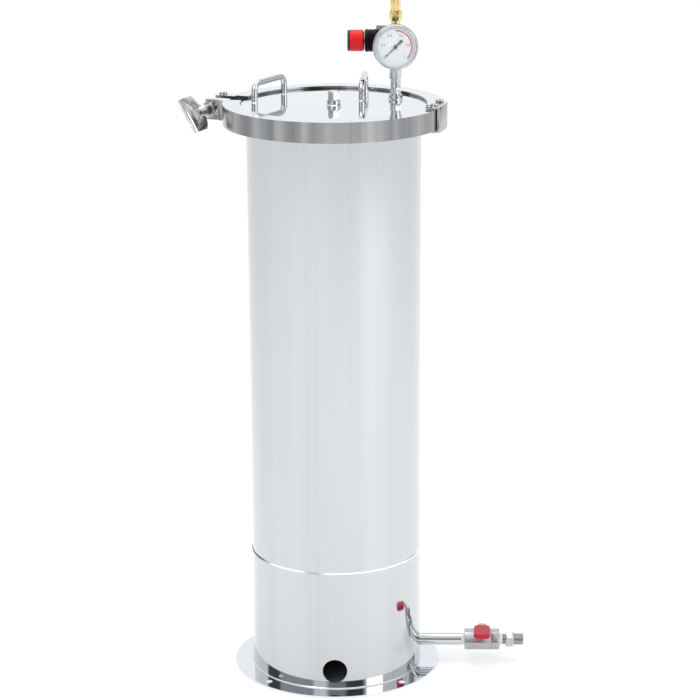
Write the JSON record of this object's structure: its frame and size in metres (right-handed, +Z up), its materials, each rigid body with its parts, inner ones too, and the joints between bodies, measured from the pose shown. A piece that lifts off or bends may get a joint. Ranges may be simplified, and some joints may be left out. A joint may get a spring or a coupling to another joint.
{
  "type": "resin pressure pot",
  "caption": "Tall cylindrical stainless pressure vessel with clamped lid, regulator and gauge on the lid and a ball valve on a bottom drain.",
  "frame": {"origin": "centre of the underside of the base flange", "axes": "+Z up along the vessel, +X towards the drain outlet, -Y towards the front hole"},
  "size_m": [0.4329, 0.273, 0.855],
  "materials": {
    "satin_steel": "satin",
    "mirror_steel": "mirror polished",
    "fitting_steel": "machined",
    "cast_steel": "brushed",
    "white_ptfe": "matte",
    "red_plastic": "gloss",
    "black_paint": "satin black",
    "black_plastic": "matte",
    "black_rubber": "matte",
    "brass": "machined",
    "dial_white": "printed scale",
    "clear_glass": "clear"
  },
  "bodies": {
    "pot": {"barrel": "satin_steel", "tank_bottom": "satin_steel", "skirt": "satin_steel", "base_flange": "mirror_steel", "top_ferrule": "satin_steel", "outlet_socket": "satin_steel", "drain_elbow": "satin_steel", "drain_pipe": "satin_steel", "seal_tape": "white_ptfe", "valve_body": "fitting_steel", "valve_end_cap": "fitting_steel", "valve_seats": "white_ptfe", "gland_nut": "fitting_steel", "outlet_nipple": "fitting_steel", "lid_plate": "mirror_steel", "lid_gasket": "white_ptfe", "left_handle": "mirror_steel", "right_handle": "mirror_steel", "centre_socket": "fitting_steel", "centre_plug": "fitting_steel", "regulator_socket": "fitting_steel", "lower_nipple": "fitting_steel", "coupling": "fitting_steel", "upper_nipple": "fitting_steel", "regulator_body": "black_paint", "regulator_bonnet": "black_paint", "diaphragm": "black_rubber", "poppet": "brass", "regulating_spring": "fitting_steel", "spring_button": "fitting_steel", "inlet_fitting": "brass", "gauge_stem": "brass", "gauge_case": "fitting_steel", "bourdon_tube": "brass", "gauge_dial": "dial_white", "gauge_lens": "clear_glass", "gauge_bezel": "fitting_steel", "clamp_rear": "cast_steel", "hinge_link": "cast_steel", "hinge_pins": "fitting_steel", "swing_pin": "fitting_steel"},
    "lever": {"valve_ball": "fitting_steel", "valve_stem": "fitting_steel", "lever_plate": "fitting_steel", "lever_grip": "red_plastic", "lever_nut": "fitting_steel"},
    "screw": {"adjusting_screw": "fitting_steel"},
    "knob": {"knob": "red_plastic", "knob_cap": "black_plastic"},
    "pointer": {"gauge_pointer": "black_paint"},
    "hose_nut": {"hose_nut": "brass"},
    "front_clamp": {"clamp_front": "cast_steel"},
    "swing": {"swing_bolt": "fitting_steel"},
    "washer_ring": {"washer": "fitting_steel"},
    "nut": {"loop_nut": "cast_steel"}
  },
  "joints": [
    {"name": "valve_turn", "type": "hinge", "parent": "pot", "child": "lever", "pos_m": [0.18875, 0, 0.027], "axis": [0, 0, 1], "range_deg": [0, 90]},
    {"name": "knob_turn", "type": "hinge", "parent": "pot", "child": "screw", "pos_m": [0.031, 0.0406, 0.804], "axis": [1, 0, 0], "range_deg": [0, 1080]},
    {"name": "knob_pull", "type": "slide", "parent": "screw", "child": "knob", "axis": [-1, 0, 0], "range_m": [0, 0.003]},
    {"name": "pointer_turn", "type": "hinge", "parent": "pot", "child": "pointer", "pos_m": [0.076, -0.005, 0.803], "axis": [0, 1, 0], "range_deg": [0, 270]},
    {"name": "hose_nut_spin", "type": "hinge", "parent": "pot", "child": "hose_nut", "pos_m": [0.076, 0.0406, 0.85], "axis": [0, 0, 1], "continuous": true},
    {"name": "clamp_spread", "type": "hinge", "parent": "pot", "child": "front_clamp", "pos_m": [0.12286, -0.04545, 0.7219], "axis": [0, 0, 1], "range_deg": [0, 1.6]},
    {"name": "bolt_swing", "type": "hinge", "parent": "pot", "child": "swing", "pos_m": [-0.13906, 0.05528, 0.7219], "axis": [0, 0, -1], "range_deg": [0, 100]},
    {"name": "nut_travel", "type": "slide", "parent": "swing", "child": "washer_ring", "axis": [-0.4147, -0.91, 0], "range_m": [0, 0.0072]},
    {"name": "nut_turn", "type": "hinge", "parent": "washer_ring", "child": "nut", "pos_m": [-0.13906, 0.05528, 0.7219], "axis": [-0.4147, -0.91, 0], "range_deg": [0, 1440]}
  ],
  "couplings": [
    {"joint": "nut_travel", "follows": "nut_turn", "m_per_rad": 0.00027852},
    {"joint": "clamp_spread", "follows": "nut_turn", "ratio": 0.00097}
  ]
}
